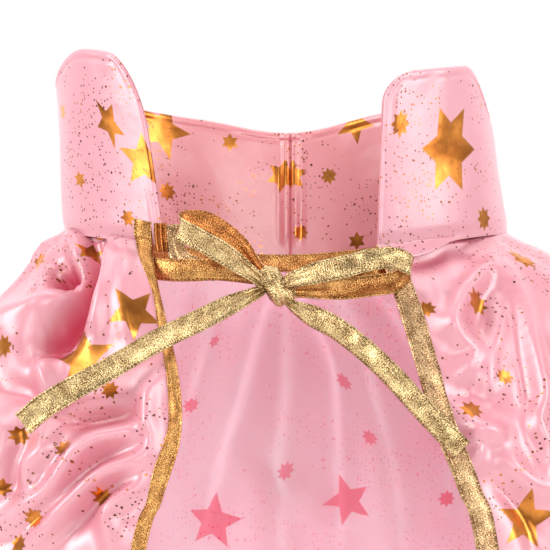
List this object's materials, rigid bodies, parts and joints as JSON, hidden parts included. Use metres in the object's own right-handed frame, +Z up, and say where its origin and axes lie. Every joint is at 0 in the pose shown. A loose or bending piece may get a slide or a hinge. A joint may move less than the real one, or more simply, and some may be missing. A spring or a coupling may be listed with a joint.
{
  "type": "superhero cape",
  "caption": "Child's pink satin cape with a stiffened stand-up collar, foil star print, gold tape edges and a ribbon bow at the neck.",
  "frame": {"origin": "centre of the neckline, level with the neck seam at the centre back", "axes": "+Z up, the wearer faces -Y, +X is the viewer's right when looking at the front"},
  "size_m": [0.4887, 0.3184, 0.748],
  "materials": {
    "star_satin": "satin",
    "satin_facing": "satin",
    "interfacing": "matte",
    "gold_tape": "gloss",
    "gold_ribbon": "gloss"
  },
  "bodies": {
    "collar": {"left_collar_outer": "star_satin", "left_collar_stiffener": "interfacing", "left_collar_inner": "satin_facing", "right_collar_outer": "star_satin", "right_collar_stiffener": "interfacing", "right_collar_inner": "satin_facing", "neck_tape": "gold_tape", "left_tie_strap": "gold_ribbon", "right_tie_strap": "gold_ribbon", "bow_knot": "gold_ribbon"},
    "drape": {"back_panel": "star_satin", "left_front_panel": "star_satin", "right_front_panel": "star_satin", "hem_binding": "gold_tape", "left_front_binding": "gold_tape", "right_front_binding": "gold_tape"},
    "left_loop": {"left_bow_loop": "gold_ribbon"},
    "right_loop": {"right_bow_loop": "gold_ribbon"},
    "left_tail": {"left_bow_tail": "gold_ribbon"},
    "right_tail": {"right_bow_tail": "gold_ribbon"}
  },
  "joints": [
    {"name": "cape_swing", "type": "hinge", "parent": "collar", "child": "drape", "pos_m": [0, 0.069, 0], "axis": [1, 0, 0], "range_deg": [0, 30]},
    {"name": "left_loop_swing", "type": "hinge", "parent": "collar", "child": "left_loop", "pos_m": [-0.0094, -0.073, -0.012], "axis": [0, 0.9636, -0.2672], "range_deg": [-12, 15]},
    {"name": "right_loop_swing", "type": "hinge", "parent": "collar", "child": "right_loop", "pos_m": [0.0086, -0.073, -0.0165], "axis": [0, -0.9636, 0.2672], "range_deg": [-12, 15]},
    {"name": "left_tail_swing", "type": "hinge", "parent": "collar", "child": "left_tail", "pos_m": [-0.0088, -0.073, -0.02], "axis": [0, 0.9636, -0.2672], "range_deg": [-55, 20]},
    {"name": "right_tail_swing", "type": "hinge", "parent": "collar", "child": "right_tail", "pos_m": [0.0075, -0.0745, -0.0285], "axis": [0, -0.9636, 0.2672], "range_deg": [-45, 20]}
  ]
}
